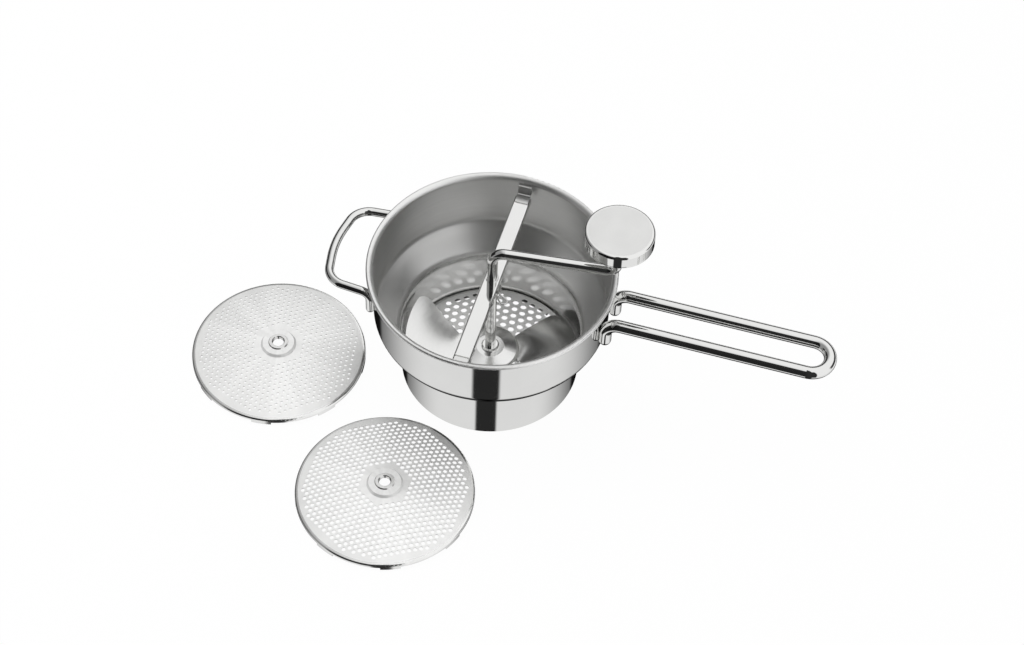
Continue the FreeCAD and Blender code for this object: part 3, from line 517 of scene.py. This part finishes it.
# The dark patches behind, one low and one across the middle, and the dark underneath.
LOW_BACK = (0.66, 0.78)  # back
LOW_BACK_TOP = (-0.6, -0.5)  # height
HIGH_BACK = (-0.25, -0.05)  # back
HIGH_BACK_HEIGHTS = (-0.2, -0.12, 0.36, 0.48)  # height
UNDERNEATH = (-0.93, -0.86)  # height
DARK_DEPTH = 0.95

# Keeps a direction straight up or down from dividing by nothing.
LEAST_LEVEL = 0.02

FLOOR_WHITE = (0.9, 0.9, 0.9, 1.0)
FLOOR_GLOW = 0.97

# Name, place in metres, width in metres and power in watts.
LAMPS = (
    ("overhead", (-0.3, 0.3, 1.8), 1.6, 14.0),
    ("left", (-1.8, -0.6, 1.2), 1.2, 8.0),
)


def make_floor(stage):
    """A plain floor, nearly white to the camera, that keeps the shadows and isn't mirrored."""
    bpy.ops.object.select_all(action="DESELECT")
    bpy.ops.mesh.primitive_plane_add(size=stage.floor, location=(0.0, 0.0, 0.0))
    floor = bpy.context.object
    floor.name = "floor"
    shader = new_shader("floor white")
    lit = shader.wire("ShaderNodeBsdfDiffuse", 0, None, {"Color": FLOOR_WHITE})
    glow = shader.wire("ShaderNodeEmission", 0, None, {"Color": (1.0, 1.0, 1.0, 1.0), "Strength": 1.0})
    seen = shader.wire("ShaderNodeLightPath", "Is Camera Ray")
    sockets = {SHADER_FACTOR: seen * FLOOR_GLOW, SHADER_FIRST: lit, SHADER_SECOND: glow}
    both = shader.wire("ShaderNodeMixShader", 0, None, sockets)
    shader.node("ShaderNodeOutputMaterial", None, {"Surface": both})
    floor.data.materials.append(shader.owner)
    floor.visible_glossy = False


def front_from(x, y, turn):
    """How nearly a direction points to the front, which is turned from -Y: 1 in front, -1 behind."""
    level = (x * x + y * y) ** 0.5
    return (x * math.sin(turn) - y * math.cos(turn)) / level.maths("MAXIMUM", level, LEAST_LEVEL)


def between(height, heights):
    """1 between the two ramps and 0 past them."""
    return height.smooth(heights[0], heights[1]) * (1 - height.smooth(heights[2], heights[3]))


def make_world(scene, stage):
    """White to the camera and even to matt surfaces; a tent of light with dark patches to polished metal."""
    world = bpy.data.worlds.new("studio")
    scene.world = world
    shader = Shader(world)
    x, y, z = shader.split(shader.wire("ShaderNodeTexCoord", "Generated"))
    front = front_from(x, y, stage.turn)
    low_tent = front.smooth(*LOW_TENT) * LOW_TENT_LIGHT + LOW_TENT_LEAST
    high = z.smooth(*TENT_RISE)
    leftward = (x * math.cos(stage.turn) + y * math.sin(stage.turn)) * -1.0
    tent = low_tent * (1 - high) + high * (1 - leftward.smooth(*LEFT_SHADE) * LEFT_SHADE_DEPTH)
    narrow_gap = front_from(x, y, stage.turn - NARROW_GAP_TURN).smooth(*NARROW_GAP)
    wide_gap = front_from(x, y, stage.turn - WIDE_GAP_TURN).smooth(*WIDE_GAP) * between(z, WIDE_GAP_HEIGHTS)
    gap = narrow_gap.maths("MAXIMUM", narrow_gap, wide_gap)
    low_back = (0 - front).smooth(*LOW_BACK) * (1 - z.smooth(*LOW_BACK_TOP))
    high_back = (0 - front).smooth(*HIGH_BACK) * between(z, HIGH_BACK_HEIGHTS)
    behind = low_back.maths("MAXIMUM", low_back, high_back)
    under = 1 - z.smooth(*UNDERNEATH)
    shown = tent * (1 - gap * GAP_DEPTH) * (1 - behind * DARK_DEPTH) * (1 - under * DARK_DEPTH)
    path = shader.node("ShaderNodeLightPath")
    camera = Wire(shader, path.outputs["Is Camera Ray"])
    glossy = Wire(shader, path.outputs["Is Glossy Ray"])
    through = Wire(shader, path.outputs["Is Transmission Ray"])
    white = camera.maths("MAXIMUM", camera, through)
    strength = white + (1 - white) * (glossy * shown + (1 - glossy) * stage.light)
    colour = {"Color": (1.0, 1.0, 1.0, 1.0), "Strength": strength}
    background = shader.wire("ShaderNodeBackground", 0, None, colour)
    shader.node("ShaderNodeOutputWorld", None, {"Surface": background})


def make_lamps():
    """Two soft boxes: one overhead, one to the left."""
    for name, place, size, power in LAMPS:
        lamp = bpy.data.lights.new(name, "AREA")
        lamp.shape = "SQUARE"
        lamp.size = size
        lamp.energy = power
        holder = bpy.data.objects.new(name, lamp)
        holder.location = place
        holder.rotation_euler = (-Vector(place)).to_track_quat("-Z", "Y").to_euler()
        holder.visible_glossy = False
        bpy.context.scene.collection.objects.link(holder)


def make_camera(scene, stage):
    lens = bpy.data.cameras.new("camera")
    lens.lens = stage.lens
    camera = bpy.data.objects.new("camera", lens)
    turn = Matrix.Rotation(stage.turn, 4, "Z")
    tilt = Matrix.Rotation(math.pi / 2 - stage.tilt, 4, "X")
    roll = Matrix.Rotation(stage.roll, 4, "Z")
    camera.matrix_world = Matrix.Translation(Vector(stage.eye)) @ turn @ tilt @ roll
    scene.collection.objects.link(camera)
    scene.camera = camera


# ---------------------------------------------------------------- panel and add-on


OPERATORS = (
    MILL_OT_bowl,
    MILL_OT_handles,
    MILL_OT_crossbar,
    MILL_OT_crank,
    MILL_OT_blade,
    MILL_OT_knob,
    MILL_OT_sieves,
    MILL_OT_stage,
)


class MILL_PT_panel(bpy.types.Panel):
    """Lists the mill's operators and settings"""

    bl_label = "Food Mill"
    bl_idname = "MILL_PT_panel"
    bl_space_type = "VIEW_3D"
    bl_region_type = "UI"
    bl_category = "Food Mill"

    def draw(self, context):
        for group in (context.scene.mill_finish, context.scene.mill_stage):
            for name in group.__annotations__:
                self.layout.prop(group, name)
        for operator in OPERATORS:
            self.layout.operator(operator.bl_idname)


CLASSES = (MillFinish, MillStage, *OPERATORS, MILL_PT_panel)


def register():
    for cls in CLASSES:
        bpy.utils.register_class(cls)
    bpy.types.Scene.mill_finish = PointerProperty(type=MillFinish)
    bpy.types.Scene.mill_stage = PointerProperty(type=MillStage)


def unregister():
    del bpy.types.Scene.mill_stage
    del bpy.types.Scene.mill_finish
    for cls in reversed(CLASSES):
        bpy.utils.unregister_class(cls)


def main():
    register()
    for operator in OPERATORS:
        group, name = operator.bl_idname.split(".")
        getattr(getattr(bpy.ops, group), name)()


if __name__ == "__main__":
    main()
